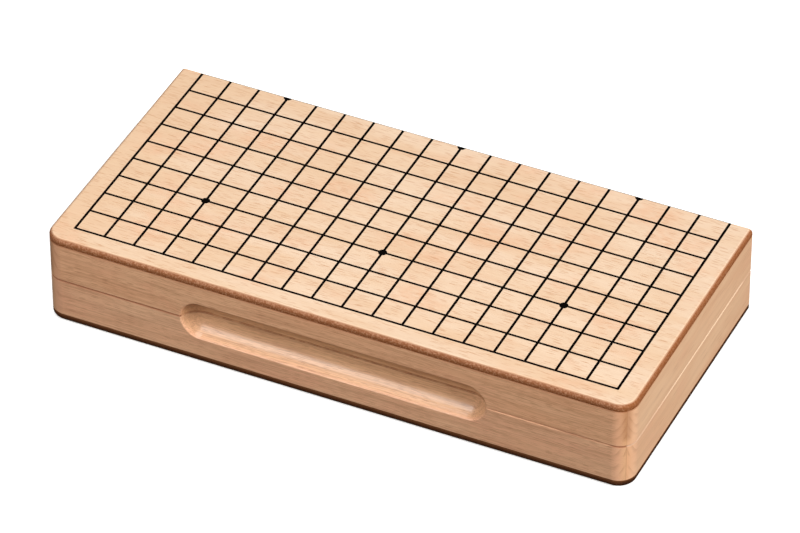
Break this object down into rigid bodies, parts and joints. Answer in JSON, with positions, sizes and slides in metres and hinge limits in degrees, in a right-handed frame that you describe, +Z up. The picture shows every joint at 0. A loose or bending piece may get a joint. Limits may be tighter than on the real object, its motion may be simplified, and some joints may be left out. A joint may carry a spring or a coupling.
{
  "type": "folding go board case",
  "caption": "Shallow hinged beech case whose two outer faces carry the halves of a go grid, with a finger groove along the front seam and divided trays inside.",
  "frame": {"origin": "centre of the wooden footprint, on the surface that the closed case stands on; the hinge barrels stand 2.15 mm further out at the back", "axes": "+X along the fold and the finger groove, +Y from the finger groove to the fold, +Z up through the closed case"},
  "size_m": [0.3, 0.1465, 0.0488],
  "materials": {
    "beech_face_veneer": "satin lacquer",
    "beech_backing_veneer": "satin lacquer",
    "fibreboard_core": "satin lacquer over a cut fibre edge",
    "beech_long_rail": "satin lacquer",
    "beech_short_rail": "satin lacquer",
    "beech_divider": "satin lacquer",
    "grid_ink": "satin black print",
    "hinge_brass": "satin",
    "screw_brass": "satin",
    "magnet_plating": "nickel plate"
  },
  "bodies": {
    "lower_half": {"lower_face_veneer": "beech_face_veneer", "lower_grid_inlay": "grid_ink", "lower_panel_core": "fibreboard_core", "lower_backing_veneer": "beech_backing_veneer", "lower_front_rail": "beech_long_rail", "lower_back_rail": "beech_long_rail", "lower_left_rail": "beech_short_rail", "lower_right_rail": "beech_short_rail", "lower_divider": "beech_divider", "lower_left_magnet": "magnet_plating", "lower_right_magnet": "magnet_plating", "lower_left_hinge_leaf": "hinge_brass", "lower_right_hinge_leaf": "hinge_brass", "lower_hinge_screws": "screw_brass", "left_hinge_pin": "hinge_brass", "right_hinge_pin": "hinge_brass"},
    "upper_half": {"upper_face_veneer": "beech_face_veneer", "upper_grid_inlay": "grid_ink", "upper_panel_core": "fibreboard_core", "upper_backing_veneer": "beech_backing_veneer", "upper_front_rail": "beech_long_rail", "upper_back_rail": "beech_long_rail", "upper_left_rail": "beech_short_rail", "upper_right_rail": "beech_short_rail", "upper_divider": "beech_divider", "upper_left_magnet": "magnet_plating", "upper_right_magnet": "magnet_plating", "upper_left_hinge_leaf": "hinge_brass", "upper_right_hinge_leaf": "hinge_brass", "upper_hinge_screws": "screw_brass"}
  },
  "joints": [
    {"name": "case_hinge", "type": "hinge", "parent": "lower_half", "child": "upper_half", "pos_m": [0, 0.07235, 0.0244], "axis": [-1, 0, 0], "range_deg": [0, 180]}
  ]
}
